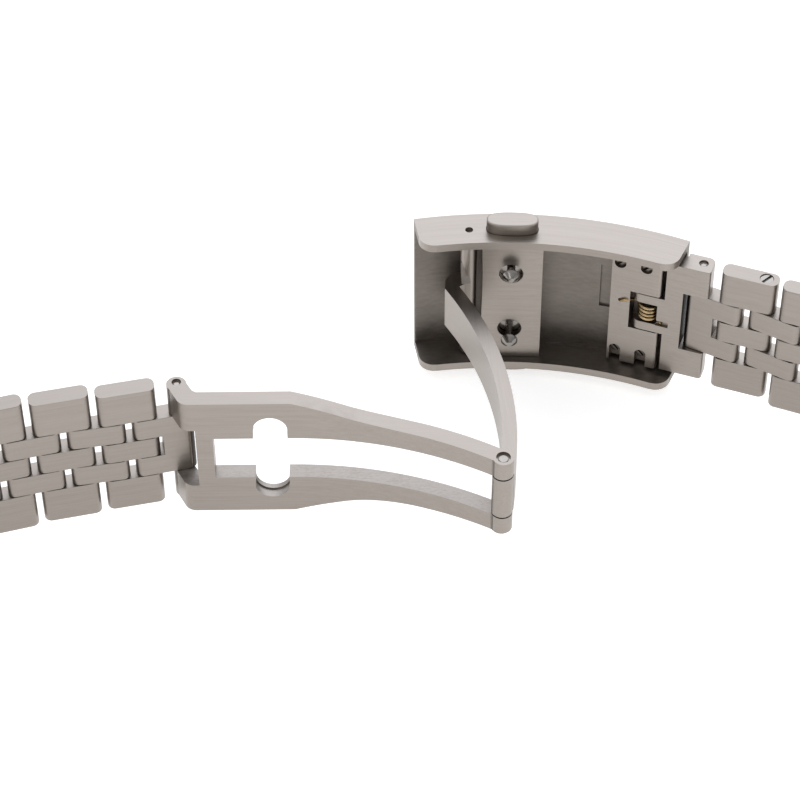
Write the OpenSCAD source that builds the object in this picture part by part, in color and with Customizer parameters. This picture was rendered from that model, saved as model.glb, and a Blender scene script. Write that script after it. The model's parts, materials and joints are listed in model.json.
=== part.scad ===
// Five-row watch bracelet with a folding clasp, lying open and standing on its edge.
// Every hinge runs along Z. The clasp cover is drawn about the centre of its own arc,
// and each other piece hangs from it through the hinges, one after another.
// Angles called phi are degrees from +Y, clockwise, about the cover's arc centre.

/* [Bracelet] */
// Width of the wide links next to the clasp
clasp_end_w = 18; // [17.9:0.1:18.2]
// Width of the end links, which sit between the watch's lugs
lug_end_w = 21.6; // [20:0.1:22.4]
// Wide links on each side of the clasp
links_per_side = 5; // [3:1:5]
// Distance from one wide link to the next
link_pitch = 7.3; // [7:0.1:8]
// Gap between two links of one row
link_gap = 0.7; // [0.6:0.05:0.9]
// Thickness of the links
link_t = 2.1; // [2:0.05:2.3]
// Radius of the rounding on the links' ends
link_round = 0.85; // [0.7:0.05:0.95]
// Width of each of the three inner rows
inner_row_w = 2.95; // [2.7:0.05:3.05]
// Running gap between neighbouring rows
row_gap = 0.08; // [0.04:0.01:0.14]
// Distance between the two holes of the link that meets the clasp
clasp_link_l = 3.95; // [3.9:0.05:4.4]
// Distance from the last pin to the spring bar in an end link
end_link_l = 6.2; // [5.4:0.1:8]
// Radius of the end link's tube
end_tube_r = 1.3; // [1.2:0.05:1.6]

/* [Pins and screws] */
// Radius of the link pins
pin_r = 0.5; // [0.4:0.02:0.55]
// Radial clearance where a piece turns on a pin
run_clear = 0.05; // [0.02:0.01:0.08]
// Radial clearance where a pin is held fast
hold_clear = 0.01; // [0.005:0.005:0.02]
// Metal left outside a link pin's blind end
pin_cover = 1; // [0.6:0.1:1.5]
// Right-hand links, counted from the clasp, that come off by a screw
screw_links = 3; // [0:1:3]
// Radius of a link screw's head
screw_head_r = 0.8; // [0.7:0.02:0.84]
// Height of a link screw's head
screw_head_h = 0.6; // [0.4:0.05:0.8]
// Width of the screwdriver slots
slot_cut_w = 0.26; // [0.15:0.01:0.35]
// Radius of the tube of the spring bars at the watch lugs
lug_bar_r = 0.75; // [0.6:0.05:0.85]
// Radius of the tips of the spring bars at the watch lugs
lug_tip_r = 0.45; // [0.35:0.05:0.5]
// Length of each tip outside its end link
lug_tip_l = 0.8; // [0.6:0.05:1]
// Radius of the clasp's spring bars between their ears
bar_r = 0.5; // [0.42:0.02:0.55]
// Radius of the tips of the clasp's spring bars
bar_tip_r = 0.34; // [0.25:0.01:0.38]
// Radius of the dished mouth round each tip
bar_mouth_r = 0.53; // [0.45:0.01:0.6]
// Depth of that mouth
bar_mouth_d = 0.35; // [0.2:0.05:0.5]

/* [Clasp cover] */
// Radius of the cover's outer face
cover_r = 53.1; // [52.9:0.1:53.4]
// Depth of the cover from its outer face to the flanges' edge
cover_depth = 5; // [4.8:0.05:5.2]
// Thickness of the cover's back
cover_t = 0.7; // [0.6:0.02:0.75]
// Width over the flanges
cover_w = 20.4; // [20.3:0.1:21]
// Thickness of each flange
flange_t = 1.05; // [0.9:0.05:1.1]
// Left end of the cover, phi
cover_phi_left = -9.9; // [-10.4:0.1:-9.4]
// Right end of the cover, phi
cover_phi_right = 25.3; // [25:0.05:25.5]
// Rounding of the flanges' corners
flange_round = 1.8; // [1:0.1:2.2]

/* [Push buttons and latch] */
// Length of a push button
button_l = 6; // [5:0.1:6.2]
// Width of a push button
button_w = 2.5; // [2:0.05:2.5]
// How far a push button stands out of its flange
button_out = 1.5; // [1.3:0.05:1.6]
// Clearance round a push button in its window
button_clear = 0.06; // [0.03:0.01:0.1]
// Depth of the latch block's face under the cover's outer face
latch_depth = 4.07; // [3.95:0.01:4.15]
// Length of the latch block along the bracelet
latch_l = 7.1; // [6.6:0.1:7.2]
// Latch studs' middle line, phi
latch_phi = 2.6; // [2.5:0.1:2.8]
// Distance of each latch hole from the bracelet's middle plane
latch_hole_z = 4.4; // [4.3:0.05:4.5]
// Radius of the latch holes
latch_hole_r = 1.4; // [1.35:0.01:1.45]
// How far each stud rests outside the middle of its hole
stud_shift = 0.8; // [0.7:0.05:0.85]
// Radius of a stud's neck
stud_neck_r = 0.5; // [0.4:0.02:0.52]
// Radius of a stud's cone head
stud_head_r = 1; // [0.9:0.02:1.05]
// How far a stud's tip stands above the latch block
stud_tip = 2; // [1.8:0.05:2.1]

/* [Blades] */
// Distance between the tongue blade's two hinges
tongue_l = 32; // [31.8:0.1:32.2]
// Thickness of the tongue blade
tongue_t = 1.65; // [1.4:0.05:1.7]
// Width of the tongue blade's arm
tongue_w = 5.9; // [5.4:0.1:6]
// Radius of the tongue blade's tube on the cover hinge
tongue_tube_r = 0.95; // [0.85:0.02:1]
// Thickness of the fork blade
fork_t = 1.95; // [1.8:0.05:2]
// Gap between the fork blade's side and the flange it folds in by
fork_side_gap = 0.55; // [0.45:0.05:0.75]
// Width over the fork blade's two prongs at the hinge
fork_tip_w = 10.9; // [10.6:0.1:11.4]
// Width of the fork blade's slot
slot_w = 6.3; // [6.2:0.05:6.5]
// Slot length from the catch notches to the crossbar
slot_back = 6.4; // [6.3:0.1:6.8]
// Width of the crossbar between slot and ears
crossbar_w = 1.9; // [1.6:0.1:2]
// Radius of the catch notches
notch_r = 1.93; // [1.85:0.01:2]
// Depth of the catch groove in the notches' wall
notch_groove = 0.22; // [0.1:0.01:0.3]
// Radius of the knuckles between the two blades
knuckle_r = 1.2; // [1.1:0.02:1.25]
// Radius of the hinge pin between the two blades
blade_pin_r = 0.55; // [0.45:0.01:0.6]
// Radius of the dish round that hinge pin's ends
blade_dish_r = 0.8; // [0.7:0.01:0.85]
// Radius of the cover hinge pin
cover_pin_r = 0.45; // [0.4:0.01:0.5]

/* [Extension link] */
// Depth of the spring block's near face under the cover's outer face
block_depth = 3; // [2.9:0.05:3.1]
// Length of the spring block
block_l = 6.1; // [5.9:0.05:6.2]
// Gap between each end of the spring block and the flange
block_side_gap = 0.4; // [0.25:0.05:0.6]
// Radius of the block screws' shanks
block_screw_r = 0.36; // [0.3:0.02:0.4]
// Height of the block screws' heads
block_screw_head_h = 0.6; // [0.4:0.05:0.7]
// Radius of the recess round each of those heads
screw_sink_r = 0.7; // [0.6:0.02:0.75]
// Depth of that recess
screw_sink_d = 0.95; // [0.85:0.05:1.1]
// Width of the notch for the extension link's stem
stem_notch_w = 5.8; // [5.7:0.05:6]
// Width of the extension link's stem
stem_w = 5.56; // [5.4:0.02:5.6]
// Width of the window for the torsion spring
spring_window_w = 3; // [2.8:0.05:3.1]
// Gap between the extension link's side and the flange
ext_side_gap = 0.6; // [0.45:0.05:0.95]
// Radius of the extension link's pivot pin
pivot_r = 0.45; // [0.35:0.01:0.5]
// Radius of the torsion spring's wire
wire_r = 0.12; // [0.1:0.01:0.12]
// Curls of the torsion spring
spring_curls = 4; // [3:1:4]
// Rise of the torsion spring in one curl
spring_rise = 0.65; // [0.65:0.01:0.66]

/* [Hidden] */
steel = "#a59e97";
bright_steel = "#cfcac6";
spring_steel = "#c2a67c";
$fn = 64;
touch = 0.02;          // seat left open between pieces of one body that rest on each other
far = 30;              // a length longer than any piece, for cuts
corner_steps = 8;      // chords in a quarter of a rounded corner
wide_edge = 1.5 * inner_row_w + row_gap / 2;   // inner face of the outer rows
centre_half = inner_row_w / 2 - row_gap / 2;   // half the centre row
mid_inner = inner_row_w / 2 + row_gap / 2;     // the second and fourth rows' inner face
mid_outer = 1.5 * inner_row_w - row_gap / 2;   // and their outer face

// Directions of the pieces from the clasp outward as the bracelet lies, read off the photograph:
// clasp link, then wide and mid links in turn, then the end link. Counter-clockwise from +X.
left_headings = [193, 192, 189.5, 192.5, 194, 195.5, 198, 200.5, 203, 205.5, 208, 210];
right_headings = [-28.5, -20.5, -31.5, -22, -31, -28, -33, -33, -37, -38, -42, -43];
tongue_heading = -84.7;
fork_heading = 0;

function unit(a) = [cos(a), sin(a)];
function turned(p, a) = [p.x * cos(a) - p.y * sin(a), p.x * sin(a) + p.y * cos(a)];
function polar(r, phi) = [r * sin(phi), r * cos(phi)];
function arc_points(c, r, a0, a1, n) = [for (i = [0:n]) c + r * unit(a0 + (a1 - a0) * i / n)];
function tube_points(c, r, start) = let (n = 40) [for (i = [1:n]) c + r * unit(start + 360 * i / n)];
function bezier(a, b, c, n) = [for (i = [0:n]) let (t = i / n)
    (1 - t) * (1 - t) * a + 2 * t * (1 - t) * b + t * t * c];
function rounded_box(x0, x1, y0, y1, r) = let (n = corner_steps) concat(
    arc_points([x1 - r, y1 - r], r, 0, 90, n), arc_points([x0 + r, y1 - r], r, 90, 180, n),
    arc_points([x0 + r, y0 + r], r, 180, 270, n), arc_points([x1 - r, y0 + r], r, 270, 360, n));
// a point of the outline that lies between a rectangle and an ellipse
function oval_point(a, b, t) = let (c = cos(t), s = sin(t), k = 2 / 2.7)
    [a * sign(c) * pow(abs(c), k), b * sign(s) * pow(abs(s), k)];
function oval(l, w) = [for (i = [0:47]) oval_point(l / 2, w / 2, i * 7.5 + 3.75)];

// Cover
flange_r = cover_r - cover_depth;
floor_r = cover_r - cover_t;
flange_in = cover_w / 2 - flange_t;
cover_hinge = polar(cover_r - 2.7, -3.1);

// Tongue blade, in its own frame: cover hinge at the origin, +X to the other hinge, +Y outward
tongue_centre = [0.647 * tongue_l, -45.15];
tongue_mid_r = 46.98;
tongue_root_x = 1.9;
tongue_root_top_x = tongue_root_x - 0.15;
tongue_tube_w = 2 * flange_in - 0.5;
blade_hinge = cover_hinge + tongue_l * unit(tongue_heading);

// Fork blade, in its own frame: origin midway between the catch notches, +X to the hinge
fork_arc_x = 2.1;
fork_arc_r = 46;
fork_arc_a = 30.75;
fork_w = 2 * (flange_in - fork_side_gap);
fork_full_x = 2.4;                 // end of the full width
fork_ease_x = [8.6, 11.2, 15.5];   // where each side's curve starts, its handle and its end
fork_ease_share = 0.395;           // how far out the curve starts, between the prongs' width and the full one
fork_hinge_local = [fork_arc_x + fork_arc_r * sin(fork_arc_a), fork_arc_r * (cos(fork_arc_a) - 1)];
fork_ear_local = [-slot_back - crossbar_w - 1.95, fork_t / 2 + 1.6];
fork_origin = blade_hinge - turned(fork_hinge_local, fork_heading);
notch_z = latch_hole_z + 0.05;
ear_in = mid_outer + 0.06;
knuckle_in = slot_w / 2;
blade_dish_d = 0.22;

// Latch block, in the frame turned to latch_phi
latch_face = cover_r - latch_depth;
button_mid = cover_r - 2.6;
channel_lo = latch_face + 0.9;
channel_hi = channel_lo + 1.7;
channel_w = 2.9;
slider_w = channel_w - 0.2;
slider_gap = 0.05;
rib_half = 0.6;
slider_end = 2.6;
cap_inner = flange_in - 0.15;
cap_pocket = cap_inner - button_out - 0.2;
stud_z = latch_hole_z + stud_shift;

// Spring block and extension link, in the frame turned to block_phi
block_phi = 20.5;
block_face = cover_r - block_depth;
block_w = 2 * (flange_in - block_side_gap);
block_left = -3.85;
block_right = block_left + block_l;
stem_notch_x = -1.45;
stem_t = 1.8;
stem_left = -1.1;
stem_end_x = stem_left + stem_t / 2;
pivot_x = 0.6;
pivot_y = block_face + stem_t / 2;
pivot_reach = stem_notch_w / 2 + 1.2;
screw_x = [block_left + 0.97, block_left + 4.13];
screw_z = block_w / 2 - 1.85;
screw_end_y = cover_r - 0.2;
ext_w = 2 * (flange_in - ext_side_gap);
window_right = 1.88;
crossbar_x = block_right + 0.45;
ext_step_x = cover_r * sin(cover_phi_right - block_phi) + 0.22;
ext_pin_local = [6.6, block_face + 1.48];
ext_wall_x = ext_pin_local.x - link_pitch / 4 + link_gap / 2 - 0.28;
ext_right = ext_pin_local.x + 1.25;

// Where the two halves of the bracelet start
left_start = fork_origin + turned(fork_ear_local, fork_heading);
right_start = turned(ext_pin_local, -block_phi);
chain_start = [left_start, right_start];
headings = [left_headings, right_headings];
last_piece = 2 * links_per_side + 1;
link_over = (link_pitch / 2 - link_gap) / 2;    // length of a link past its pin
end_body_x = link_over + 0.4;

function link_w(i) = clasp_end_w + (lug_end_w - clasp_end_w) * (i - 1) / links_per_side;
function piece_l(k) = k == 0 ? clasp_link_l : k == last_piece ? end_link_l : link_pitch / 2;
function pin_xy(side, k) = k == 0 ? chain_start[side]
    : pin_xy(side, k - 1) + piece_l(k - 1) * unit(headings[side][k - 1]);

// The whole part's box, which puts the origin at the middle of its foot
left_bar = pin_xy(0, last_piece + 1);
right_bar = pin_xy(1, last_piece + 1);
low_x = left_bar.x - end_tube_r;
high_x = right_bar.x + end_tube_r;
low_y = min(left_bar.y, right_bar.y) - end_tube_r;
foot_z = max(cover_w / 2 + button_out, lug_end_w / 2 + lug_tip_l);
origin_shift = [-(low_x + high_x) / 2, -(low_y + cover_r) / 2, foot_z];

sides = ["left", "right"];

module slab(z0, z1) translate([0, 0, z0]) linear_extrude(z1 - z0) children();
module both_sides() {
    children();
    mirror([0, 0, 1]) children();
}
module in_place() translate(origin_shift) children();
module at_piece(side, k) in_place() translate(pin_xy(side, k)) rotate(headings[side][k]) children();
module at_phi(phi) in_place() rotate(-phi) children();
// drawn facing the wrist: children's Z runs towards the arc centre from a face at height y
module from_face(x, y, z) translate([x, y, z]) rotate([90, 0, 0]) children();
module arc_band(r0, r1, phi0, phi1) intersection() {
    difference() {
        circle(r1, $fn = 180);
        circle(r0, $fn = 180);
    }
    polygon([[0, 0], 1.1 * polar(r1, phi0), 1.1 * polar(r1, (phi0 + phi1) / 2), 1.1 * polar(r1, phi1)]);
}
// what is cut away to round a flange's corner, the corner at the origin
module corner_waste(r) polygon(concat([[-1, -1], [r, -1]],
    arc_points([r, r], r, 270, 180, corner_steps), [[-1, r]]));
module link_profile(l) polygon(rounded_box(-link_over, l + link_over, -link_t / 2, link_t / 2, link_round));
module rod(x, r, z0, z1) translate([x, 0, z0]) cylinder(r = r, h = z1 - z0);

// Links
module wide_links(side, i) {
    half = link_w(i) / 2;
    l = link_pitch / 2;
    has_screw = side == 1 && i <= screw_links;
    color(steel) at_piece(side, 2 * i - 1) difference() {
        union() {
            slab(-centre_half, centre_half) link_profile(l);
            both_sides() slab(wide_edge, half) link_profile(l);
        }
        rod(0, pin_r + hold_clear, pin_cover - half, half - pin_cover);
        rod(l, pin_r + hold_clear, pin_cover - half, has_screw ? half : half - pin_cover);
        if (has_screw) rod(l, screw_head_r + hold_clear, half - screw_head_h - 0.1, far);
    }
}
module mid_links(side, i) color(steel) at_piece(side, 2 * i) both_sides() difference() {
    slab(mid_inner, mid_outer) link_profile(link_pitch / 2);
    for (x = [0, link_pitch / 2]) rod(x, pin_r + run_clear, 0, far);
}
module link_pin(x, half) rod(x, pin_r, pin_cover - half + touch, half - pin_cover - touch);
module link_screw(x, half) difference() {
    union() {
        rod(x, pin_r, pin_cover - half + touch, half - screw_head_h);
        rod(x, screw_head_r, half - screw_head_h - 0.1 + touch, half - 0.1);
    }
    translate([x, 0, half]) rotate(62) cube([far, slot_cut_w, 0.7], center = true);
}
module link_pins(side, i) {
    half = link_w(i) / 2;
    color(bright_steel) at_piece(side, 2 * i - 1) {
        link_pin(0, half);
        if (side == 1 && i <= screw_links) link_screw(link_pitch / 2, half);
        else link_pin(link_pitch / 2, half);
    }
}
module clasp_link(side) {
    notch_x = clasp_link_l - link_over - 0.36;
    color(steel) at_piece(side, 0) difference() {
        slab(-mid_outer, mid_outer) link_profile(clasp_link_l);
        translate([notch_x, -link_t, -mid_inner]) cube([far, 2 * link_t, 2 * mid_inner]);
        rod(0, bar_r + run_clear, -far, far);
        rod(clasp_link_l, pin_r + run_clear, -far, far);
    }
}
module end_link(side) {
    half = lug_end_w / 2;
    color(steel) at_piece(side, last_piece) difference() {
        slab(-half, half) union() {
            polygon(rounded_box(-link_over, end_link_l, -link_t / 2, link_t / 2, link_round));
            polygon(tube_points([end_link_l, 0], end_tube_r, 3));
        }
        both_sides() translate([-far, -link_t, centre_half])
            cube([far + end_body_x, 2 * link_t, wide_edge - centre_half]);
        rod(0, pin_r + hold_clear, pin_cover - half, half - pin_cover);
        rod(end_link_l, lug_bar_r + hold_clear, -far, far);
    }
}
module end_link_pin(side) color(bright_steel) at_piece(side, last_piece) link_pin(0, lug_end_w / 2);
module lug_spring_bar(side) {
    half = lug_end_w / 2;
    color(bright_steel) at_piece(side, last_piece) {
        rod(end_link_l, lug_bar_r, -half, half);
        rod(end_link_l, lug_tip_r, -half - lug_tip_l, half + lug_tip_l);
    }
}
// a clasp spring bar: a thick tube in the link, thin tips in the two ears
module clasp_spring_bar(inner_half, tip_half) {
    rod(0, bar_r, -inner_half, inner_half);
    rod(0, bar_tip_r, -tip_half, tip_half);
}
module left_clasp_spring_bar() color(bright_steel) at_piece(0, 0)
    clasp_spring_bar(ear_in - touch, fork_w / 2 - bar_mouth_d + 0.06);
module right_clasp_spring_bar() color(bright_steel) at_piece(1, 0)
    clasp_spring_bar(ear_in - touch, ext_w / 2 - bar_mouth_d + 0.06);
module ear_bore(half) {
    rod(0, bar_tip_r + hold_clear, -far, far);
    both_sides() rod(0, bar_mouth_r, half - bar_mouth_d, far);
}

// Clasp cover
module clasp_cover() color(steel) difference() {
    at_phi(0) difference() {
        slab(-cover_w / 2, cover_w / 2) difference() {
            arc_band(flange_r, cover_r, cover_phi_left, cover_phi_right);
            rotate(-cover_phi_left) translate([0, flange_r]) corner_waste(flange_round);
            rotate(-cover_phi_right) translate([0, flange_r]) mirror([1, 0]) corner_waste(flange_round);
        }
        slab(-flange_in, flange_in) arc_band(flange_r - 2, floor_r, cover_phi_left - 4, cover_phi_right + 4);
        translate(cover_hinge) rod(0, cover_pin_r + hold_clear, -far, far);
        // grooves along the flanges' inner faces and a shallow pocket in the back
        both_sides() slab(0, flange_in + 0.3) arc_band(floor_r - 1.8, floor_r - 0.45, 7.6, 15.6);
        slab(-2.5, 4.1) arc_band(floor_r - 1, floor_r + 0.3, 14.3, 16.4);
    }
    at_phi(latch_phi) slab(-far, far) translate([0, button_mid])
        polygon(oval(button_l + 2 * button_clear, button_w + 2 * button_clear));
    at_phi(block_phi) both_sides() for (x = screw_x)
        from_face(x, screw_end_y + 0.05, screw_z) cylinder(r = block_screw_r + hold_clear, h = 2);
}
module cover_hinge_pin() color(bright_steel) in_place() translate(cover_hinge)
    rod(0, cover_pin_r, -cover_w / 2 + 0.5, cover_w / 2 - 0.5);

// Blades
module tongue_profile() {
    in_r = tongue_mid_r - tongue_t / 2;
    out_r = tongue_mid_r + tongue_t / 2;
    c = tongue_centre;
    root_in = 90 + asin((c.x - tongue_root_x) / in_r);
    root_out = 90 + asin((c.x - tongue_root_top_x) / out_r);
    tip = 90 - asin((tongue_l - c.x) / tongue_mid_r);
    polygon(concat(arc_points(c, in_r, tip, root_in, 24),
        [[0.35, -2.75], [-0.45, -2.05], [-0.9, -0.3], [0.6, 0.7]],
        arc_points(c, out_r, root_out, tip, 24)));
    polygon(tube_points([tongue_l, 0], knuckle_r, 3));
}
// the concave corner between the tube and the arm, seen from the wrist side
module root_fillet() from_face(0, 0.1, 0) linear_extrude(1.05) polygon(concat([[0, 0], [0, 5.6]],
    bezier([0.5, 5.6], [0.9, 3.6], [1.35, tongue_w / 2 - 0.05], 10), [[1.35, 0]]));
module tongue_blade() color(steel) in_place() translate(cover_hinge) rotate(tongue_heading) difference() {
    union() {
        slab(-tongue_w / 2, tongue_w / 2) tongue_profile();
        rod(0, tongue_tube_r, -tongue_tube_w / 2, tongue_tube_w / 2);
        both_sides() root_fillet();
    }
    rod(0, cover_pin_r + run_clear, -far, far);
    rod(tongue_l, blade_pin_r + run_clear, -far, far);
}

module fork_side() {
    in_r = fork_arc_r - fork_t / 2;
    out_r = fork_arc_r + fork_t / 2;
    c = [fork_arc_x, -fork_arc_r];
    ear_near_x = fork_ear_local.x + 0.55;
    polygon(concat([[ear_near_x, -fork_t / 2]], arc_points(c, in_r, 90, 90 - fork_arc_a, 24),
        arc_points(c, out_r, 90 - fork_arc_a, 90, 24), [[ear_near_x, fork_t / 2]]));
    translate(fork_hinge_local) polygon(tube_points([0, 0], knuckle_r, 3));
}
module ear_side() translate(fork_ear_local) {
    polygon([[-1.06, -0.5], [0.3, -fork_t - 1.15], [0.7, -fork_t - 1.6], [3, -fork_t - 1.6], [3, -1.6],
        [2.2, -1.6], [1.75, -1.3], [0.98, 0.1]]);
    polygon(tube_points([0, -0.28], 1.12, 4));
}
// the blade's outline seen from the wrist: full width, then two prongs that narrow to the hinge
module fork_face() {
    half = fork_w / 2;
    tip = fork_tip_w / 2;
    x = fork_ease_x;
    start_half = tip + fork_ease_share * (half - tip);
    ease = bezier([x[0], start_half], [x[1], tip + 0.5], [x[2], tip + 0.33], 8);
    edge = concat([[-far, half], [fork_full_x, half]], ease, [[2 * far, tip - 0.45]]);
    polygon(concat(edge, [for (i = [len(edge) - 1:-1:0]) [edge[i].x, -edge[i].y]]));
}
module fork_blade() color(steel) in_place() translate(fork_origin) rotate(fork_heading) difference() {
    intersection() {
        union() {
            slab(-fork_w / 2, fork_w / 2) fork_side();
            both_sides() slab(ear_in, fork_w / 2) ear_side();
        }
        from_face(0, far, 0) linear_extrude(2 * far) fork_face();
    }
    // slot, catch notches and the opening between the ears
    translate([-slot_back, -far, -slot_w / 2]) cube([2 * far, 2 * far, slot_w]);
    both_sides() {
        from_face(0, far, notch_z) cylinder(r = notch_r, h = 2 * far);
        translate([-notch_r + 0.02, -far, 0]) cube([2 * notch_r - 0.04, 2 * far, notch_z]);
        from_face(0, 0.35, notch_z) cylinder(r = notch_r + notch_groove, h = 0.7);
    }
    translate([-slot_back - crossbar_w - far, -far, -ear_in]) cube([far, 2 * far, 2 * ear_in]);
    translate(fork_ear_local) ear_bore(fork_w / 2);
    translate(fork_hinge_local) {
        rod(0, blade_pin_r + hold_clear, -far, far);
        both_sides() rod(0, blade_dish_r, fork_tip_w / 2 - blade_dish_d, far);
    }
}
module blade_hinge_pin() color(bright_steel) in_place() translate(blade_hinge) {
    rod(0, blade_pin_r, -fork_tip_w / 2 + 0.1, fork_tip_w / 2 - 0.1);
}

// Latch
module latch_block() color(steel) at_phi(latch_phi) difference() {
    slab(-flange_in + touch, flange_in - touch) intersection() {
        translate([-latch_l / 2 + 0.15, latch_face]) square([latch_l, far]);
        circle(floor_r - touch, $fn = 180);
    }
    both_sides() {
        translate([-channel_w / 2, channel_lo, rib_half]) cube([channel_w, channel_hi - channel_lo, far]);
        slab(cap_pocket, far) translate([0, button_mid]) polygon(oval(button_l + 0.16, button_w + 0.16));
        from_face(0, channel_lo + 0.1, latch_hole_z) cylinder(r = latch_hole_r, h = far);
    }
}
module button() slab(cap_inner, cover_w / 2 + button_out) translate([0, button_mid])
    polygon(oval(button_l, button_w));
module latch_stud() {
    neck_top = latch_face - stud_tip + 1.1;
    translate([-slider_w / 2, channel_lo + slider_gap, slider_end])
        cube([slider_w, channel_hi - channel_lo - 2 * slider_gap, cap_inner - touch - slider_end]);
    from_face(0, channel_lo + slider_gap, stud_z) {
        cylinder(r = stud_neck_r, h = channel_lo + slider_gap - neck_top);
        translate([0, 0, channel_lo + slider_gap - neck_top]) rotate_extrude()
            polygon([[0, 0], [stud_neck_r, 0], [stud_head_r, 0.25], [stud_head_r, 0.4],
                [0.32, 1.1], [0, 1.1]]);
    }
}
module latch_spring() rod(0, 0.5, rib_half + touch, slider_end - touch);
module upper_button() color(bright_steel) at_phi(latch_phi) button();
module lower_button() color(bright_steel) at_phi(latch_phi) mirror([0, 0, 1]) button();
module upper_latch_stud() color(bright_steel) at_phi(latch_phi) latch_stud();
module lower_latch_stud() color(bright_steel) at_phi(latch_phi) mirror([0, 0, 1]) latch_stud();
module upper_latch_spring() color(spring_steel) at_phi(latch_phi)
    translate([0, (channel_lo + channel_hi) / 2]) latch_spring();
module lower_latch_spring() color(spring_steel) at_phi(latch_phi) mirror([0, 0, 1])
    translate([0, (channel_lo + channel_hi) / 2]) latch_spring();

// Spring block and extension link
leg_hole_x = block_left + 1.22;
leg_hole_z = 1.15;
leg_z = spring_curls * spring_rise / 2;
leg_slot_z = -leg_z + 0.1;
leg_slot_w = 0.8;
module spring_block() color(steel) at_phi(block_phi) difference() {
    slab(-block_w / 2, block_w / 2) intersection() {
        polygon(concat([[block_left, block_face]],
            arc_points([block_right - 0.5, block_face + 0.5], 0.5, 270, 360, corner_steps),
            [[block_right, far + block_face], [block_left, far + block_face]]));
        circle(floor_r - touch, $fn = 180);
    }
    translate([stem_notch_x, 0, -stem_notch_w / 2]) cube([far, 2 * block_face, stem_notch_w]);
    translate([pivot_x, pivot_y]) rod(0, pivot_r + hold_clear, -pivot_reach, pivot_reach);
    from_face(leg_hole_x, block_face + 0.8, leg_hole_z) cylinder(r = wire_r + 0.13, h = far);
    both_sides() for (x = screw_x) {
        from_face(x, block_face + screw_sink_d, screw_z) cylinder(r = screw_sink_r, h = far);
        translate([x - screw_sink_r + 0.02, block_face - 1, screw_z])
            cube([2 * screw_sink_r - 0.04, screw_sink_d + 1, far]);
        from_face(x, far + block_face, screw_z) cylinder(r = block_screw_r + 0.04, h = far);
    }
}
module block_screws() color(bright_steel) at_phi(block_phi) both_sides() for (x = screw_x) {
    seat_y = block_face + screw_sink_d - touch;
    slot_y = seat_y - block_screw_head_h / 2;
    from_face(x, screw_end_y, screw_z) cylinder(r = block_screw_r, h = screw_end_y - (seat_y + slot_y) / 2);
    difference() {
        from_face(x, seat_y, screw_z) cylinder(r = screw_sink_r - 0.05, h = block_screw_head_h);
        from_face(x, slot_y, screw_z) rotate(48) translate([-screw_sink_r, -slot_cut_w / 2, 0])
            cube([2 * screw_sink_r, slot_cut_w, far]);
    }
}
module extension_side() {
    top = block_face + stem_t;
    polygon(rounded_box(stem_left, crossbar_x + 1, block_face, top, stem_t / 2 - 0.02));
}
module extension_bar_side() polygon(concat(
    [[crossbar_x, block_face]],
    arc_points([ext_right - 0.4, block_face + 0.4], 0.4, 270, 360, 6),
    arc_points([ext_right - 0.8, block_face + 1.82], 0.8, 0, 90, 6),
    [[ext_step_x, block_face + 2.62], [ext_step_x, block_face + 2.05], [crossbar_x, block_face + 2.05]]));
module extension_link() color(steel) at_phi(block_phi) difference() {
    union() {
        slab(-stem_w / 2, stem_w / 2) extension_side();
        slab(-ext_w / 2, ext_w / 2) extension_bar_side();
    }
    // window round the spring, slot for its second leg, and the opening between the ears
    translate([-far, 0, -spring_window_w / 2]) cube([far + window_right, 2 * block_face, spring_window_w]);
    translate([window_right - 0.1, block_face - 1, leg_slot_z - leg_slot_w / 2])
        cube([1.55, 1.5, leg_slot_w]);
    translate([ext_wall_x, 0, -ear_in]) cube([far, 2 * block_face, 2 * ear_in]);
    translate([pivot_x, pivot_y]) rod(0, pivot_r + run_clear, -far, far);
    translate(ext_pin_local) ear_bore(ext_w / 2);
}
module extension_pivot_pin() color(bright_steel) at_phi(block_phi) translate([pivot_x, pivot_y])
    rod(0, pivot_r, -pivot_reach + touch, pivot_reach - touch);

// The torsion spring: a helix about the pivot with one leg in the block and one in the link
coil_r = 0.86;
curl_rings = 8;
coil_start = 270;
function coil_point(i) = let (t = i / curl_rings)
    [pivot_x + coil_r * cos(coil_start + 360 * t), pivot_y + coil_r * sin(coil_start + 360 * t),
     leg_z - spring_rise * t];
spring_path = concat(
    [[leg_hole_x, block_face + 0.6, leg_hole_z], [leg_hole_x, block_face - 0.02, leg_hole_z],
     [leg_hole_x + 0.3, block_face - 0.3, leg_hole_z + 0.03], [pivot_x - 1.1, block_face - 0.2, leg_z]],
    [for (i = [0:spring_curls * curl_rings]) coil_point(i)],
    [[window_right - 0.25, pivot_y - coil_r, -leg_z], [window_right + 1.1, pivot_y - coil_r, -leg_z]]);
function norm3(v) = v / norm(v);
function heading_at(p, i) = norm3(p[min(i + 1, len(p) - 1)] - p[max(i - 1, 0)]);
// a frame carried along the wire: each ring's side vector is the last one, straightened
function side_at(p, i) = let (d = heading_at(p, i), s = i == 0 ? [0, 0, 1] : side_at(p, i - 1))
    norm3(s - (s * d) * d);
wire_sides = 6;
wire_points = [for (i = [0:len(spring_path) - 1]) let (d = heading_at(spring_path, i),
    s = side_at(spring_path, i), u = cross(d, s))
    for (j = [0:wire_sides - 1]) let (a = 360 * j / wire_sides)
        spring_path[i] + wire_r * (cos(a) * s + sin(a) * u)];
function quad(i, j) = let (a = i * wire_sides + j, b = i * wire_sides + (j + 1) % wire_sides)
    [[a, b, b + wire_sides], [a, b + wire_sides, a + wire_sides]];
wire_faces = concat([for (i = [0:len(spring_path) - 2], j = [0:wire_sides - 1]) each quad(i, j)],
    [for (j = [1:wire_sides - 2]) [0, j + 1, j]],
    [for (j = [1:wire_sides - 2]) let (e = (len(spring_path) - 1) * wire_sides) [e, e + j, e + j + 1]]);
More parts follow.
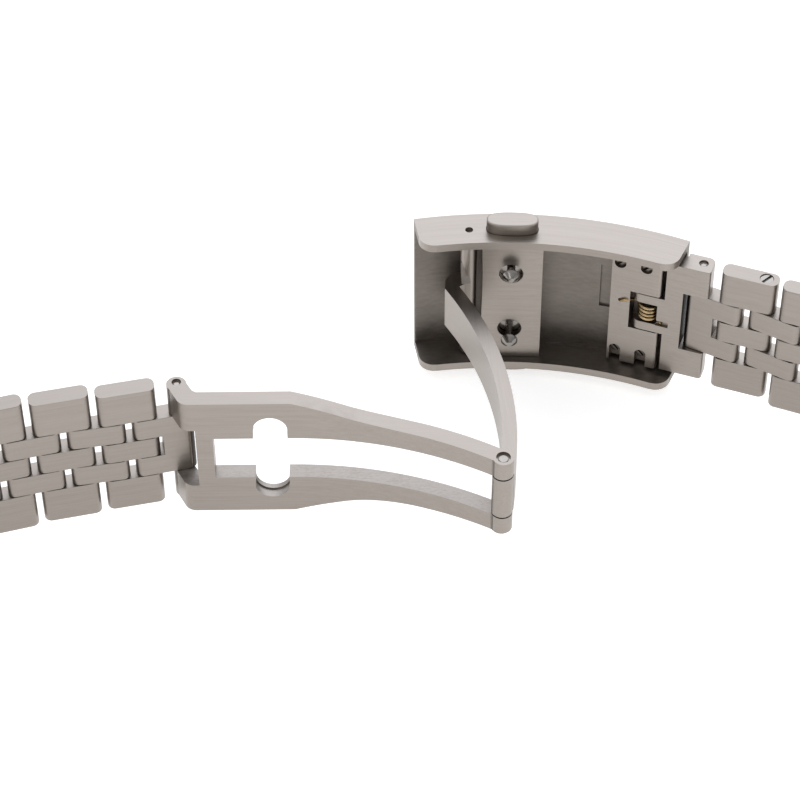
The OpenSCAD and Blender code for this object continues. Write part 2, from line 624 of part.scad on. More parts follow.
module torsion_spring() color(spring_steel) at_phi(block_phi)
    polyhedron(points = wire_points, faces = wire_faces);
// least distance between wire points over half a curl apart, less the wire's own thickness
spring_gap = min([for (i = [0:len(spring_path) - 1], j = [i + curl_rings / 2:1:len(spring_path) - 1])
    norm(spring_path[i] - spring_path[j])]) - 2 * wire_r;
echo(torsion_spring_gap_mm = spring_gap);

clasp_cover();
cover_hinge_pin();
tongue_blade();
fork_blade();
blade_hinge_pin();
latch_block();
upper_button();
lower_button();
upper_latch_stud();
lower_latch_stud();
upper_latch_spring();
lower_latch_spring();
spring_block();
block_screws();
extension_link();
extension_pivot_pin();
torsion_spring();
left_clasp_spring_bar();
right_clasp_spring_bar();
for (side = [0, 1]) {
    clasp_link(side);
    end_link(side);
    end_link_pin(side);
    lug_spring_bar(side);
    for (i = [1:links_per_side]) {
        wide_links(side, i);
        mid_links(side, i);
        link_pins(side, i);
    }
}
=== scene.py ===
"""Looks for the five link watch bracelet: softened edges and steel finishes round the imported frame."""

from __future__ import annotations

import json
import logging
import math
from dataclasses import dataclass
from enum import Enum
from typing import Callable

import bmesh
import bpy
from mathutils import Matrix, Vector


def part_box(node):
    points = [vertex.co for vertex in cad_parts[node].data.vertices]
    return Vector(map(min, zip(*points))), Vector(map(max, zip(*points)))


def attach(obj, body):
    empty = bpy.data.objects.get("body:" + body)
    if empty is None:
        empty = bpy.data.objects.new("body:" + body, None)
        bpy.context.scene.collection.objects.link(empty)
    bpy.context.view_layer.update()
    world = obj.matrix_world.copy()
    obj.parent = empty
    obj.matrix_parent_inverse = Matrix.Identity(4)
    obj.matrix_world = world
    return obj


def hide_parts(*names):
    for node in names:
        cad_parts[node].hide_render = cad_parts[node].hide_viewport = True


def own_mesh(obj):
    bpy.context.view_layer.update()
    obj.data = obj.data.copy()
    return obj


MM = 0.001
LOG = logging.getLogger("bracelet")
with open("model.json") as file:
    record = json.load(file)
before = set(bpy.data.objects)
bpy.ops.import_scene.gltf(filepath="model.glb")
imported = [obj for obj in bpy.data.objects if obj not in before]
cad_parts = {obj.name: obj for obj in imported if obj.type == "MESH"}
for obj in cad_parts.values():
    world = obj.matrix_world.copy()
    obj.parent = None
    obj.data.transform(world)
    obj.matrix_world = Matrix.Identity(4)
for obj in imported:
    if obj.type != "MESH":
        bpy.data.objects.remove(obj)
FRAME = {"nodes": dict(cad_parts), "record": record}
Point = tuple[float, float, float]

# The record's material slots.
SATIN, BRIGHT, SPRING = "satin_steel", "polished_steel", "spring_steel"
# The sRGB curve: where its straight foot ends, the foot's slope, the offset and the power.
SRGB_FOOT, SRGB_SLOPE, SRGB_OFFSET, SRGB_POWER = 0.04045, 12.92, 0.055, 2.4
# Vertices of the CAD mesh closer than this are one, and faces flatter to each other than this are one.
WELD_MM = 0.002
FLAT = math.radians(0.4)
# Faces that meet at more than this have an edge to round, and at more than the second a square corner.
SHARP = math.radians(28)
SQUARE = math.radians(40)


def linear(colour: str) -> tuple[float, float, float, float]:
    """Turns an sRGB hex colour into the linear colour that Blender works in.

    Args:
        colour: six hex digits.

    Returns:
        Linear red, green and blue, and full alpha.
    """
    parts = [int(colour[i:i + 2], 16) / 255 for i in (0, 2, 4)]
    r, g, b = (
        p / SRGB_SLOPE if p <= SRGB_FOOT else ((p + SRGB_OFFSET) / (1 + SRGB_OFFSET)) ** SRGB_POWER
        for p in parts)
    return r, g, b, 1.0


def joint(name: str) -> dict:
    """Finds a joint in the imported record.

    Args:
        name: the joint's name.

    Returns:
        The joint's entry.
    """
    return next(j for j in FRAME["record"]["behaviour"]["joints"] if j["name"] == name)


def pin(name: str) -> Vector:
    """Finds where a hinge turns.

    Args:
        name: the hinge's name.

    Returns:
        Its point in the row frame, in metres.
    """
    return Vector(joint(name)["pos_m"])


def add_object(name: str, data: bpy.types.ID) -> bpy.types.Object:
    """Puts a new object in the scene, at the origin.

    Args:
        name: the object's name.
        data: its mesh, curve, camera or light.

    Returns:
        The object.
    """
    made = bpy.data.objects.new(name, data)
    bpy.context.scene.collection.objects.link(made)
    return made


def stand_in(piece: bpy.types.Object, node: str, body: str) -> None:
    """Shows a piece in a CAD node's stead.

    Args:
        piece: the piece, in its place.
        node: the CAD node.
        body: the body that it rides on.
    """
    bpy.context.view_layer.update()
    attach(piece, body)
    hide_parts(node)
    LOG.info("%s stands for %s on %s", piece.name, node, body)


def add_node(
        tree: bpy.types.NodeTree, kind: str, links: dict | None = None, **settings) -> bpy.types.Node:
    """Adds a node with its settings, socket values and incoming links.

    Args:
        tree: the node tree.
        kind: Blender's name for the kind of node.
        links: input name or number to a socket that feeds it, or to a plain value.
        settings: the node's own properties.

    Returns:
        The new node.
    """
    node = tree.nodes.new(kind)
    for name, value in settings.items():
        setattr(node, name, value)
    for name, value in (links or {}).items():
        if isinstance(value, bpy.types.NodeSocket):
            tree.links.new(value, node.inputs[name])
        else:
            node.inputs[name].default_value = value
    return node


class Lay(Enum):
    """Which way the brushing runs on a piece."""

    ALONG_X = "along the piece's own X"
    ROUND_ARC = "round the clasp's arc"


@dataclass(frozen=True)
class SteelFinish:
    """A stainless steel surface, from mirror polish to coarse brushing.

    Attributes:
        name: the material's name.
        colour: its usual colour, six hex digits.
        dark: its colour in the darker lines.
        roughness: its mean roughness.
        rough_spread: how far the roughness strays.
        line_mm: width of a brushed line.
        run_mm: length of a brushed line.
        bump_mm: depth of a brushed line.
        lay: which way the lines run.
    """

    name: str
    colour: str
    dark: str
    roughness: float
    rough_spread: float
    line_mm: float
    run_mm: float
    bump_mm: float
    lay: Lay = Lay.ALONG_X

    # Radius at which a turn about the clasp's arc is measured as a length.
    ARC_MM = 50.0
    # The broad streaks are this much coarser than the fine ones, and this is the share of each octave.
    BROAD, OCTAVE = 5.0, 0.6
    # The sum of both streaks where the dark colour and the usual one begin, and the two roughnesses.
    TINT_FROM, TINT_TO = 0.75, 1.25
    ROUGH_FROM, ROUGH_TO = 0.7, 1.3

    def coordinates(self, tree: bpy.types.NodeTree) -> bpy.types.NodeSocket:
        """Returns coordinates in metres whose X runs along the brushing.

        Args:
            tree: the material's node tree.

        Returns:
            The output socket that carries them.
        """
        place = add_node(tree, "ShaderNodeTexCoord").outputs["Object"]
        if self.lay is Lay.ALONG_X:
            return place
        xyz = add_node(tree, "ShaderNodeSeparateXYZ", {0: place})
        flat = add_node(tree, "ShaderNodeCombineXYZ", {0: xyz.outputs[0], 1: xyz.outputs[1]})
        radius = add_node(tree, "ShaderNodeVectorMath", {0: flat.outputs[0]}, operation="LENGTH")
        turn = add_node(
            tree, "ShaderNodeMath", {0: xyz.outputs[0], 1: xyz.outputs[1]}, operation="ARCTAN2")
        arc = add_node(
            tree, "ShaderNodeMath", {0: turn.outputs[0], 1: self.ARC_MM * MM}, operation="MULTIPLY")
        round_arc = add_node(
            tree, "ShaderNodeCombineXYZ",
            {0: arc.outputs[0], 1: radius.outputs["Value"], 2: xyz.outputs[2]})
        return round_arc.outputs[0]

    def lines(self, tree: bpy.types.NodeTree, place: bpy.types.NodeSocket, size: float,
              detail: float) -> bpy.types.NodeSocket:
        """Returns long streaks as a value from 0 to 1.

        Args:
            tree: the material's node tree.
            place: coordinates whose X runs along the brushing.
            size: how much coarser than the finish's own lines they are.
            detail: octaves of the noise.

        Returns:
            The value's output socket.
        """
        across = 1 / (self.line_mm * size * MM)
        along = 1 / (self.run_mm * size * MM)
        stretched = add_node(
            tree, "ShaderNodeVectorMath", {0: place, 1: (along, across, across)}, operation="MULTIPLY")
        noise = add_node(
            tree, "ShaderNodeTexNoise",
            {"Vector": stretched.outputs[0], "Scale": 1.0, "Detail": detail, "Roughness": self.OCTAVE})
        return noise.outputs["Fac"]

    def build(self) -> bpy.types.Material:
        """Returns the material, making it the first time it is asked for."""
        made = bpy.data.materials.get(self.name)
        if made:
            return made
        material = bpy.data.materials.new(self.name)
        material.use_nodes = True
        tree = material.node_tree
        shader = tree.nodes["Principled BSDF"]
        shader.inputs["Metallic"].default_value = 1.0
        place = self.coordinates(tree)
        fine = self.lines(tree, place, 1.0, 2.0)
        broad = self.lines(tree, place, self.BROAD, 3.0)
        both = add_node(tree, "ShaderNodeMath", {0: fine, 1: broad}, operation="ADD")
        tint = add_node(
            tree, "ShaderNodeMapRange",
            {"Value": both.outputs[0], "From Min": self.TINT_FROM, "From Max": self.TINT_TO,
             "To Min": 0.0, "To Max": 1.0})
        colour = add_node(
            tree, "ShaderNodeMix",
            {"Factor": tint.outputs[0], 6: linear(self.dark), 7: linear(self.colour)}, data_type="RGBA")
        tree.links.new(colour.outputs[2], shader.inputs["Base Color"])
        rough = add_node(
            tree, "ShaderNodeMapRange",
            {"Value": both.outputs[0], "From Min": self.ROUGH_FROM, "From Max": self.ROUGH_TO,
             "To Min": self.roughness - self.rough_spread, "To Max": self.roughness + self.rough_spread})
        tree.links.new(rough.outputs[0], shader.inputs["Roughness"])
        bump = add_node(
            tree, "ShaderNodeBump",
            {"Height": fine, "Strength": 1.0, "Distance": self.bump_mm * MM})
        tree.links.new(bump.outputs["Normal"], shader.inputs["Normal"])
        return material


# 316L stainless, drawn over a belt along the bracelet: long fine lines, drawn coarser than real
# ones, which are finer than a pixel.
BRUSHED = SteelFinish("stainless_brushed", "9f9790", "978f87", 0.36, 0.03, 0.08, 4.0, 0.0012)
# The same steel brushed round the clasp cover's arc.
BRUSHED_ARC = SteelFinish(
    "stainless_brushed_arc", "a29a93", "999189", 0.35, 0.03, 0.08, 5.0, 0.0012, Lay.ROUND_ARC)
# The cover's hollow, never belted: only satin from blasting, with faint uneven patches, and painted
# darker as the shade of the enclosed hollow.
BLASTED_SHADED = SteelFinish("stainless_blasted_painted_shade", "88817a", "79726b", 0.46, 0.05, 0.4, 1.2, 0.0012)
# Milled pockets and slot walls: speckled, the lines short and cross.
MILLED = SteelFinish("stainless_milled", "aaa39c", "8f8881", 0.44, 0.08, 0.2, 0.5, 0.004)
# Turned and polished pins and studs: nearly a mirror.
POLISHED = SteelFinish("stainless_polished", "98938e", "8b8680", 0.2, 0.03, 0.2, 1.2, 0.0006)
# Small machine screws, as turned and darker from thread lock.
SCREW_HEAD = SteelFinish("stainless_screw_head", "79736c", "615b55", 0.32, 0.05, 0.15, 0.4, 0.002)
# The flanks of pins and bars, deep between the links: dull, and painted dark as the shade between the
# links.
GAP_SHADE = SteelFinish("stainless_gap_shade", "4a443f", "3a3530", 0.5, 0.05, 0.3, 1.0, 0.001)
# The narrow wall that a link's tube turns against, painted nearly black as the shade in that narrow gap.
SEAT_SHADE = SteelFinish("stainless_seat_shade", "2b2724", "211e1c", 0.6, 0.05, 0.3, 1.0, 0.001)
# Hard-drawn spring wire, straw-coloured from its heat treatment.
SPRING_WIRE = SteelFinish("spring_wire_straw", "c6ad86", "a18a63", 0.26, 0.05, 0.1, 0.8, 0.001)


@dataclass(frozen=True)
class Patch:
    """Faces that carry another finish or painted shade, picked by their middle in millimetres and their
    direction.
    """

    finish: SteelFinish
    holds: Callable[[Vector, Vector], bool]


# Everything on a pin but its ends, painted dark as the shade between the links.
SHADED_PIN_FLANKS = Patch(GAP_SHADE, lambda at, facing: abs(facing.z) < 0.7)
# The walls of the fork blade's slot and catch notches, which face the blade's middle.
SLOT_WALLS = Patch(
    MILLED, lambda at, facing: facing.z * math.copysign(1, at.z) < -0.3 and abs(at.z) < 6.8)
# The round back of a clasp link's tube, painted dark as the shade where it turns in the clasp.
SHADED_TUBE_BACK = Patch(GAP_SHADE, lambda at, facing: facing.x < -0.42 and at.x < 0.4)
# The hollow under the cover's back, between the flanges, in the frame of the cover's arc, painted darker
# as its shade.
SHADED_COVER_HOLLOW = Patch(BLASTED_SHADED, lambda at, facing: math.hypot(at.x, at.y) < 52.85 and abs(at.z) < 9.6)


@dataclass(frozen=True)
class Place:
    """A piece's own frame: where its origin lies and which way its X points."""

    origin: Vector
    heading: float

    def matrix(self) -> Matrix:
        """Returns the transform from the piece's frame to the row frame."""
        return Matrix.Translation(self.origin) @ Matrix.Rotation(self.heading, 4, "Z")


@dataclass(frozen=True)
class Rounding:
    """How far the edges of a piece are rounded.

    Attributes:
        edge_mm: radius of every broken edge.
        upright_mm: radius of the long outward edges that run up the piece, or 0 for none of their own.
        ear_mm: radius of the square outward corners of its ears, or 0 for none of their own.
        smooth_deg: faces that meet at less than this many degrees are shaded as one.
    """

    edge_mm: float
    upright_mm: float = 0.0
    ear_mm: float = 0.0
    smooth_deg: float = 24.0

    # An upright edge is at least this long and leans no more than this cosine allows.
    UPRIGHT_MM, UPRIGHT_COSINE = 1.5, 0.98
    # The ears begin this far from the piece's middle, and the step beside a corner reaches this far.
    EAR_FROM_MM, EAR_STEP_MM = 4.3, 0.6
    # Points whose heights differ by less than this are on one level.
    LEVEL_MM = 0.02

    def folds(self, form: bmesh.types.BMesh, angle: float) -> list[bmesh.types.BMEdge]:
        """Finds the edges where two faces meet.

        Args:
            form: the mesh.
            angle: the angle that they meet at, at least.

        Returns:
            The edges.
        """
        return [e for e in form.edges if len(e.link_faces) == 2 and e.calc_face_angle(0.0) > angle]

    def uprights(self, form: bmesh.types.BMesh, angle: float, from_mm: float = 0.0
                 ) -> list[bmesh.types.BMEdge]:
        """Finds the long outward edges that run up the piece.

        Args:
            form: the mesh.
            angle: the angle at which their faces meet, at least.
            from_mm: how far from the piece's middle they begin, at least.

        Returns:
            The edges.
        """
        return [e for e in self.folds(form, angle)
                if e.is_convex and e.calc_length() > self.UPRIGHT_MM * MM
                and abs((e.verts[0].co - e.verts[1].co).normalized().z) > self.UPRIGHT_COSINE
                and min(abs(v.co.z) for v in e.verts) >= from_mm * MM]

    def bevel(self, form: bmesh.types.BMesh, edges: list[bmesh.types.BMEdge], radius_mm: float,
              segments: int) -> None:
        """Rounds edges together, as far as the shortest of their neighbours allows.

        Args:
            form: the mesh, changed in place.
            edges: the edges.
            radius_mm: the radius.
            segments: how many facets make up the rounding.
        """
        bmesh.ops.bevel(
            form, geom=edges, offset=radius_mm * MM, offset_type="OFFSET", segments=segments,
            profile=0.5, affect="EDGES", clamp_overlap=True)

    def bevel_each(self, form: bmesh.types.BMesh, edges: list[bmesh.types.BMEdge], radius_mm: float,
                   segments: int) -> None:
        """Rounds edges one by one, so that none holds another back.

        Args:
            form: the mesh, changed in place.
            edges: the edges.
            radius_mm: the radius.
            segments: how many facets make up each rounding.
        """
        for edge in edges:
            if edge.is_valid:
                self.bevel(form, [edge], radius_mm, segments)

    def round_ears(self, form: bmesh.types.BMesh) -> None:
        """Draws the small step beside each ear's square corner into that corner, then rounds it.

        Args:
            form: the mesh, changed in place.
        """
        near = {}
        for corner in self.uprights(form, SQUARE, self.EAR_FROM_MM):
            for tip in corner.verts:
                for vert in form.verts:
                    gap = vert.co - tip.co
                    level = abs(gap.z) < self.LEVEL_MM * MM
                    if vert not in corner.verts and level and gap.length < self.EAR_STEP_MM * MM:
                        near[vert] = tip
        bmesh.ops.weld_verts(form, targetmap=near)
        self.bevel_each(form, self.uprights(form, SQUARE, self.EAR_FROM_MM), self.ear_mm, 6)

    def apply(self, form: bmesh.types.BMesh) -> None:
        """Rounds the ears' corners, then the other uprights, then every edge that is left.

        Args:
            form: the mesh, changed in place.
        """
        if self.ear_mm > 0:
            self.round_ears(form)
        if self.upright_mm > 0:
            self.bevel_each(form, self.uprights(form, SHARP), self.upright_mm, 5)
        self.bevel(form, self.folds(form, SHARP), self.edge_mm, 2)


# Links and blades, tumbled before they are brushed.
TUMBLED = Rounding(0.1)
# Blocks and the extension link, with their edges only just broken.
MACHINED = Rounding(0.08)
# Pins, bars and studs, chamfered on the lathe.
TURNED = Rounding(0.05)
# Screw heads.
TINY = Rounding(0.04)
# The cover's pressed rim.
PRESSED = Rounding(0.12)
# The buttons, which a fingertip meets.
THUMBED = Rounding(0.15)
# The fork blade, whose ears have well rounded corners.
FORKED = Rounding(0.1, upright_mm=0.4, ear_mm=0.8, smooth_deg=18.0)


@dataclass(frozen=True)
class Piece:
    """A CAD node shown with rounded edges and its finish.

    Attributes:
        node: the CAD node that it stands for.
        body: the body that it rides on.
        place: the frame that its brushing runs in.
        finish: its main finish.
        rounding: how its edges are rounded.
        slot: the record's material slot; not used.
        patch: the faces that carry another finish or painted shade, if any.
    """

    node: str
    body: str
    place: Place
    finish: SteelFinish
    rounding: Rounding
    slot: str
    patch: Patch | None = None

    def mesh(self) -> bpy.types.Mesh:
        """Returns the CAD node's mesh in the piece's frame, with rounded edges and its finishes."""
        mesh = FRAME["nodes"][self.node].data.copy()
        mesh.name = f"{self.node}_shown"
        mesh.materials.clear()
        mesh.transform(self.place.matrix().inverted())
        form = bmesh.new()
        form.from_mesh(mesh)
        bmesh.ops.remove_doubles(form, verts=form.verts, dist=WELD_MM * MM)
        bmesh.ops.dissolve_limit(
            form, angle_limit=FLAT, verts=form.verts, edges=form.edges, delimit={"NORMAL"})
        self.rounding.apply(form)
        for face in form.faces:
            face.smooth = True
            if self.patch and self.patch.holds(face.calc_center_median() / MM, face.normal):
                face.material_index = 1
        form.to_mesh(mesh)
        form.free()
        mesh.materials.append(self.finish.build())
        if self.patch:
            mesh.materials.append(self.patch.finish.build())
        mesh.set_sharp_from_angle(angle=math.radians(self.rounding.smooth_deg))
        return mesh

    def show(self) -> bpy.types.Object:
        """Shows the piece in its node's stead."""
        mesh = self.mesh()
        piece = add_object(mesh.name, mesh)
        piece.matrix_world = self.place.matrix()
        even = piece.modifiers.new("even_shading", "WEIGHTED_NORMAL")
        even.keep_sharp = True
        stand_in(piece, self.node, self.body)
        return piece


@dataclass(frozen=True)
class Lamp:
    """A soft square lamp that shines at the bracelet.

    Attributes:
        name: the lamp's name.
        at: its place in metres.
        side_m: the side of its square.
        watts: its power.
        colour: its light, six hex digits.
    """

    name: str
    at: Point
    side_m: float
    watts: float
    colour: str

    def build(self) -> bpy.types.Object:
        """Makes the lamp and returns it."""
        data = bpy.data.lights.new(self.name, "AREA")
        data.size = self.side_m
        data.energy = self.watts
        data.color = linear(self.colour)[:3]
        lamp = add_object(self.name, data)
        lamp.location = self.at
        lamp.rotation_euler = (-Vector(self.at)).to_track_quat("-Z", "Y").to_euler()
        return lamp


@dataclass(frozen=True)
class Studio:
    """The camera at the photograph's angle, a white floor and soft light."""

    eye_mm: Point = (-3.44, -213.887, 230.583)
    elevation_deg: float = 45.565
    turn_deg: float = -0.168
    roll_deg: float = -0.454
    focal_px: float = 2687.9
    width_px: float = 800.0
    sensor_mm: float = 36.0
    nearest_m: float = 0.01
    floor_reach_m: float = 3.0
    floor_colour: str = "e6e5e3"
    floor_glow: float = 0.64
    sky_bright_at: Point = (0.0, 0.64, 0.77)
    sky_from: float = -0.1
    sky_to: float = 0.8
    sky_colour: str = "f7faff"
    sky_low: float = 0.5
    sky_high: float = 1.0
    lamps: tuple[Lamp, ...] = (
        Lamp("softbox_behind", (0.1, 0.62, 0.66), 0.7, 2.2, "eef4ff"),
        Lamp("softbox_front", (-0.45, -0.75, 0.5), 0.5, 1.0, "ffffff"))

    def camera(self) -> bpy.types.Object:
        """Makes the camera and returns it."""
        data = bpy.data.cameras.new("camera")
        data.sensor_width = self.sensor_mm
        data.lens = self.focal_px * self.sensor_mm / self.width_px
        data.clip_start = self.nearest_m
        camera = add_object("camera", data)
        camera.matrix_world = (
            Matrix.Translation(Vector(self.eye_mm) * MM)
            @ Matrix.Rotation(math.radians(self.turn_deg), 4, "Z")
            @ Matrix.Rotation(math.radians(90 - self.elevation_deg), 4, "X")
            @ Matrix.Rotation(math.radians(self.roll_deg), 4, "Z"))
        bpy.context.scene.camera = camera
        return camera

    def seen_directly(self, tree: bpy.types.NodeTree) -> bpy.types.NodeSocket:
        """Returns 1 for what the camera sees, straight or in metal or glass, and 0 for cast light.

        Args:
            tree: the node tree.

        Returns:
            The value's output socket.
        """
        path = add_node(tree, "ShaderNodeLightPath")
        straight = add_node(
            tree, "ShaderNodeMath",
            {0: path.outputs["Is Camera Ray"], 1: path.outputs["Is Glossy Ray"]}, operation="MAXIMUM")
        through = add_node(
            tree, "ShaderNodeMath",
            {0: straight.outputs[0], 1: path.outputs["Is Transmission Ray"]}, operation="MAXIMUM")
        return through.outputs[0]

    def floor(self) -> bpy.types.Object:
        """Makes a pale floor that the camera sees as white, with the object's soft shadow."""
        mesh = bpy.data.meshes.new("floor")
        r = self.floor_reach_m
        mesh.from_pydata([(-r, -r, 0), (r, -r, 0), (r, r, 0), (-r, r, 0)], [], [(0, 1, 2, 3)])
        floor = add_object("floor", mesh)
        material = bpy.data.materials.new("paper_matt_white")
        material.use_nodes = True
        tree = material.node_tree
        tree.nodes.clear()
        paper = add_node(tree, "ShaderNodeBsdfDiffuse", {"Color": linear(self.floor_colour)})
        glow = add_node(
            tree, "ShaderNodeEmission", {"Color": linear("ffffff"), "Strength": self.floor_glow})
        lit = add_node(tree, "ShaderNodeAddShader", {0: paper.outputs[0], 1: glow.outputs[0]})
        seen = add_node(
            tree, "ShaderNodeMixShader",
            {0: self.seen_directly(tree), 1: paper.outputs[0], 2: lit.outputs[0]})
        add_node(tree, "ShaderNodeOutputMaterial", {"Surface": seen.outputs[0]})
        mesh.materials.append(material)
        return floor

    def world(self) -> None:
        """Makes the sky: a soft tent, bright above and behind the bracelet and dim in front of it."""
        world = bpy.data.worlds.new("tent")
        world.use_nodes = True
        bpy.context.scene.world = world
        tree = world.node_tree
        tree.nodes.clear()
        ray = add_node(tree, "ShaderNodeTexCoord").outputs["Generated"]
        facing = add_node(
            tree, "ShaderNodeVectorMath", {0: ray, 1: self.sky_bright_at}, operation="DOT_PRODUCT")
        grade = add_node(
            tree, "ShaderNodeMapRange",
            {"Value": facing.outputs["Value"], "From Min": self.sky_from, "From Max": self.sky_to,
             "To Min": self.sky_low, "To Max": self.sky_high})
        tent = add_node(
            tree, "ShaderNodeBackground",
            {"Color": linear(self.sky_colour), "Strength": grade.outputs[0]})
        add_node(tree, "ShaderNodeOutputWorld", {"Surface": tent.outputs[0]})

    def build(self) -> None:
        """Makes the whole studio."""
        self.camera()
        self.floor()
        self.world()
        for lamp in self.lamps:
            lamp.build()
        bpy.context.scene.view_settings.view_transform = "Standard"


@dataclass(frozen=True)
class Chain:
    """One half of the bracelet: its clasp link, wide and mid links, and end link."""

    side: str
    pairs: int = 5

    def places(self) -> list[Place]:
        """Returns each link's frame: the hinge nearer the clasp, X towards the next hinge."""
        names = [f"{self.side}_clasp_hinge"]
        names += [f"{self.side}_link_hinge_{k}" for k in range(1, 2 * self.pairs + 2)]
        points = [pin(n) for n in names]
        tip = next(m for m in FRAME["record"]["mounts"] if m["name"] == f"{self.side}_upper_lug_tip")
        points.append(Vector((tip["pos_m"][0], tip["pos_m"][1], points[-1].z)))
        steps = [b - a for a, b in zip(points, points[1:])]
        return [Place(p, math.atan2(s.y, s.x)) for p, s in zip(points, steps)]

    def link(self, label: str, body: str, place: Place, patch: Patch | None = None) -> Piece:
        """Describes a brushed link of this half.

        Args:
            label: its node's name without the side.
            body: its body's name without the side.
            place: its frame.
            patch: the faces that carry another finish or painted shade, if any.

        Returns:
            The piece, not yet shown.
        """
        return Piece(
            f"{self.side}_{label}", f"{self.side}_{body}", place, BRUSHED, TUMBLED, SATIN, patch)

    def bar(self, label: str, body: str, place: Place) -> Piece:
        """Describes a turned pin or spring bar of this half.

        Args:
            label: its node's name without the side.
            body: its body's name without the side.
            place: its frame.

        Returns:
            The piece, not yet shown.
        """
        return Piece(
            f"{self.side}_{label}", f"{self.side}_{body}", place, POLISHED, TURNED, BRIGHT, SHADED_PIN_FLANKS)

    def build(self) -> None:
        """Shows every link, pin and spring bar of this half."""
        places = self.places()
        last = places[-1]
        pieces = [self.link("clasp_link", "clasp_link", places[0], SHADED_TUBE_BACK)]
        for i in range(1, self.pairs + 1):
            wide, mid = places[2 * i - 1], places[2 * i]
            pieces += [
                self.link(f"wide_links_{i}", f"wide_{i}", wide),
                self.link(f"mid_links_{i}", f"mid_{i}", mid),
                self.bar(f"link_pins_{i}", f"wide_{i}", wide)]
        pieces += [
            self.link("end_link", "end", last),
            self.bar("end_link_pin", "end", last),
            self.bar("lug_spring_bar", "end", last)]
        for piece in pieces:
            piece.show()


def wire(name: str, points: list[Vector], radius_mm: float) -> bpy.types.Object:
    """Sweeps a round spring wire along a smooth line.

    Args:
        name: the piece's name.
        points: the line's guide points in millimetres.
        radius_mm: the wire's radius.

    Returns:
        The curve object, at the origin.
    """
    curve = bpy.data.curves.new(name, "CURVE")
    curve.dimensions = "3D"
    curve.bevel_depth = radius_mm * MM
    curve.bevel_resolution = 3
    curve.use_fill_caps = True
    curve.resolution_u = 4
    line = curve.splines.new("NURBS")
    line.points.add(len(points) - 1)
    for knot, point in zip(line.points, points):
        knot.co = (*(point * MM), 1.0)
    line.order_u = 3
    line.use_endpoint_u = True
    curve.materials.append(SPRING_WIRE.build())
    return add_object(name, curve)


@dataclass(frozen=True)
class LatchSpring:
    """The small compression spring behind a push button, inside the latch block."""

    side: str
    curls: int = 5
    ring: int = 16
    wire_mm: float = 0.09

    def build(self) -> bpy.types.Object:
        """Winds the spring where its plain rod stands."""
        node, slide = f"{self.side}_latch_spring", joint(f"{self.side}_button_slide")
        low, high = (Vector(corner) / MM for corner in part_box(node))
        middle = (low + high) / 2
        radius = (high.x - low.x) / 2 - self.wire_mm
        bottom, top = low.z + self.wire_mm, high.z - self.wire_mm
        steps = self.curls * self.ring
        points = []
        for i in range(steps + 1):
            turn = math.tau * i / self.ring
            points.append(Vector((
                middle.x + radius * math.cos(turn), middle.y + radius * math.sin(turn),
                bottom + (top - bottom) * i / steps)))
        line = wire(f"{node}_line", points, self.wire_mm)
        bpy.context.view_layer.update()
        swept = line.evaluated_get(bpy.context.evaluated_depsgraph_get())
        mesh = bpy.data.meshes.new_from_object(swept)
        bpy.data.objects.remove(line)
        mesh.name = f"{node}_wound"
        spring = add_object(mesh.name, mesh)
        stand_in(spring, node, "cover")
        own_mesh(spring)
        return spring


@dataclass(frozen=True)
class TorsionSpring:
    """The straw-coloured spring round the extension link's pivot: close curls and two legs.

    Lengths are in millimetres from the pivot, half way up the coil.
    """

    lean_deg: float = -20.5
    curls: float = 3.5
    ring: int = 20
    wire_mm: float = 0.2
    coil_mm: float = 1.02
    rise_mm: float = 0.56
    start_deg: float = 215.0
    # The mouth of the hole in the block's face, and the guide points from inside it, as steps from it.
    hole: Point = (-3.23, -0.9, 1.15)
    from_hole: tuple[Point, ...] = (
        (0.0, 0.4, 0.0), (0.0, 0.1, 0.0), (0.25, -0.15, 0.12), (0.85, -0.05, 0.38))
    # Guide points that lead to the coil's top, and from its foot into the slot, by height from there.
    to_coil: tuple[Point, ...] = ((-1.95, -0.35, 0.2), (-1.6, 0.1, 0.04), (-1.15, -0.1, 0.0))
    to_slot: tuple[Point, ...] = ((1.2, 0.15, -0.15), (1.45, -0.3, -0.35), (1.9, -0.55, -0.42))

    def route(self) -> list[Vector]:
        """Returns the wire's middle line, from the block's hole to the slot."""
        top = Vector((0.0, 0.0, self.curls * self.rise_mm / 2))
        leg = [Vector(self.hole) + Vector(step) for step in self.from_hole]
        leg += [top + Vector(step) for step in self.to_coil]
        coil = []
        for i in range(round(self.curls * self.ring) + 1):
            turn = math.radians(self.start_deg) + math.tau * i / self.ring
            coil.append(top + Vector((
                self.coil_mm * math.cos(turn), self.coil_mm * math.sin(turn),
                -self.rise_mm * i / self.ring)))
        return leg + coil + [Vector(step) - top for step in self.to_slot]

    def build(self) -> bpy.types.Object:
        """Makes the spring as a swept wire and shows it in the plain helix's stead."""
        spring = wire("torsion_spring_wire", self.route(), self.wire_mm)
        spring.matrix_world = Place(pin("extension_hinge"), math.radians(self.lean_deg)).matrix()
        stand_in(spring, "torsion_spring", "cover")
        return spring


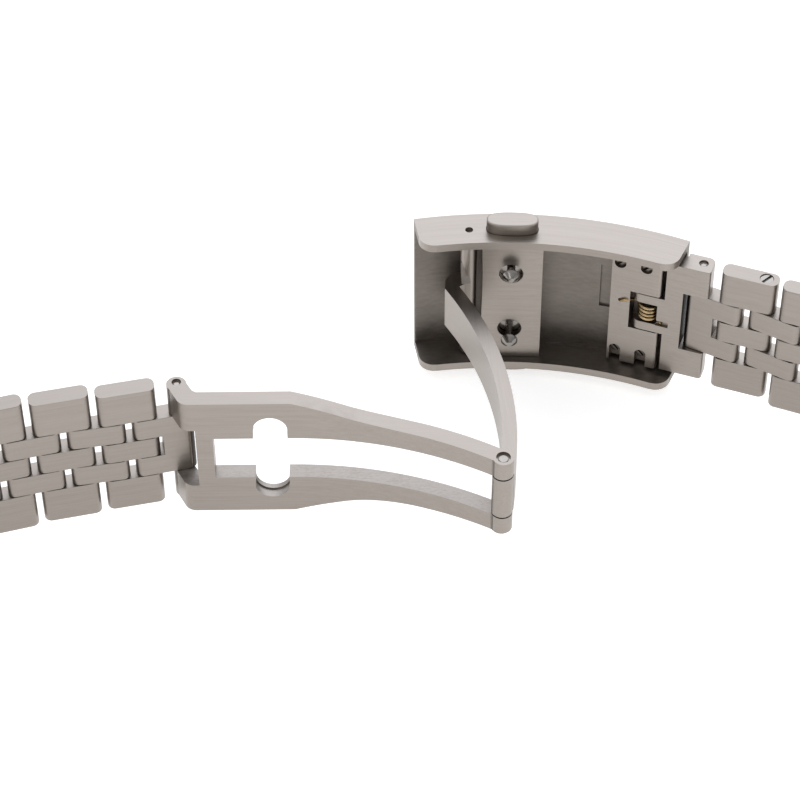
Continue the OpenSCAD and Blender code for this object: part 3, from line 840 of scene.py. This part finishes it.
@dataclass(frozen=True)
class Clasp:
    """The folding clasp: cover, blades, latch, buttons and extension link."""

    arc_centre_mm: Point = (8.13647, -32.0949, 11.7)
    seat_reach_mm: float = 2.0
    seat_half_mm: float = 4.45

    def shaded_seat_wall(self) -> Patch:
        """Returns the wall of the extension link that the first link's tube turns against, painted near
        black as the shade in its narrow gap.
        """
        hinge = pin("right_clasp_hinge") / MM - Vector(self.arc_centre_mm)
        return Patch(SEAT_SHADE, lambda at, facing: facing.x > 0.6 and facing.y < 0.5
                     and math.hypot(at.x - hinge.x, at.y - hinge.y) < self.seat_reach_mm
                     and abs(at.z) < self.seat_half_mm)

    def build(self) -> None:
        """Shows every piece of the clasp."""
        arc = Place(Vector(self.arc_centre_mm) * MM, 0.0)
        fork = Place(pin("blade_hinge"), 0.0)
        blade = pin("blade_hinge") - pin("cover_hinge")
        tongue = Place(pin("cover_hinge"), math.atan2(blade.y, blade.x))
        pieces = [
            Piece("clasp_cover", "cover", arc, BRUSHED_ARC, PRESSED, SATIN, SHADED_COVER_HOLLOW),
            Piece("latch_block", "cover", arc, BRUSHED_ARC, MACHINED, SATIN),
            Piece("spring_block", "cover", arc, BRUSHED_ARC, MACHINED, SATIN),
            Piece("block_screws", "cover", arc, SCREW_HEAD, TINY, BRIGHT),
            Piece("cover_hinge_pin", "cover", arc, POLISHED, TURNED, BRIGHT),
            Piece("extension_pivot_pin", "cover", arc, POLISHED, TURNED, BRIGHT, SHADED_PIN_FLANKS),
            Piece("tongue_blade", "tongue", tongue, BRUSHED, TUMBLED, SATIN),
            Piece("fork_blade", "fork", fork, BRUSHED, FORKED, SATIN, SLOT_WALLS),
            Piece("blade_hinge_pin", "fork", fork, POLISHED, TURNED, BRIGHT),
            Piece("left_clasp_spring_bar", "fork", fork, POLISHED, TURNED, BRIGHT, SHADED_PIN_FLANKS),
            Piece("extension_link", "extension", arc, BRUSHED_ARC, MACHINED, SATIN, self.shaded_seat_wall()),
            Piece("right_clasp_spring_bar", "extension", arc, POLISHED, TURNED, BRIGHT, SHADED_PIN_FLANKS),
            Piece("upper_button", "upper_push_button", arc, BRUSHED_ARC, THUMBED, BRIGHT),
            Piece("lower_button", "lower_push_button", arc, BRUSHED_ARC, THUMBED, BRIGHT),
            Piece("upper_latch_stud", "upper_push_button", arc, POLISHED, TURNED, BRIGHT),
            Piece("lower_latch_stud", "lower_push_button", arc, POLISHED, TURNED, BRIGHT)]
        for piece in pieces:
            piece.show()
        TorsionSpring().build()
        for side in ("upper", "lower"):
            LatchSpring(side).build()


def main() -> None:
    """Builds the scene piece by piece."""
    logging.basicConfig(level=logging.INFO, format="%(message)s")
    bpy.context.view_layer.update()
    Studio().build()
    Clasp().build()
    for side in ("left", "right"):
        Chain(side).build()


if __name__ == "__main__":
    main()
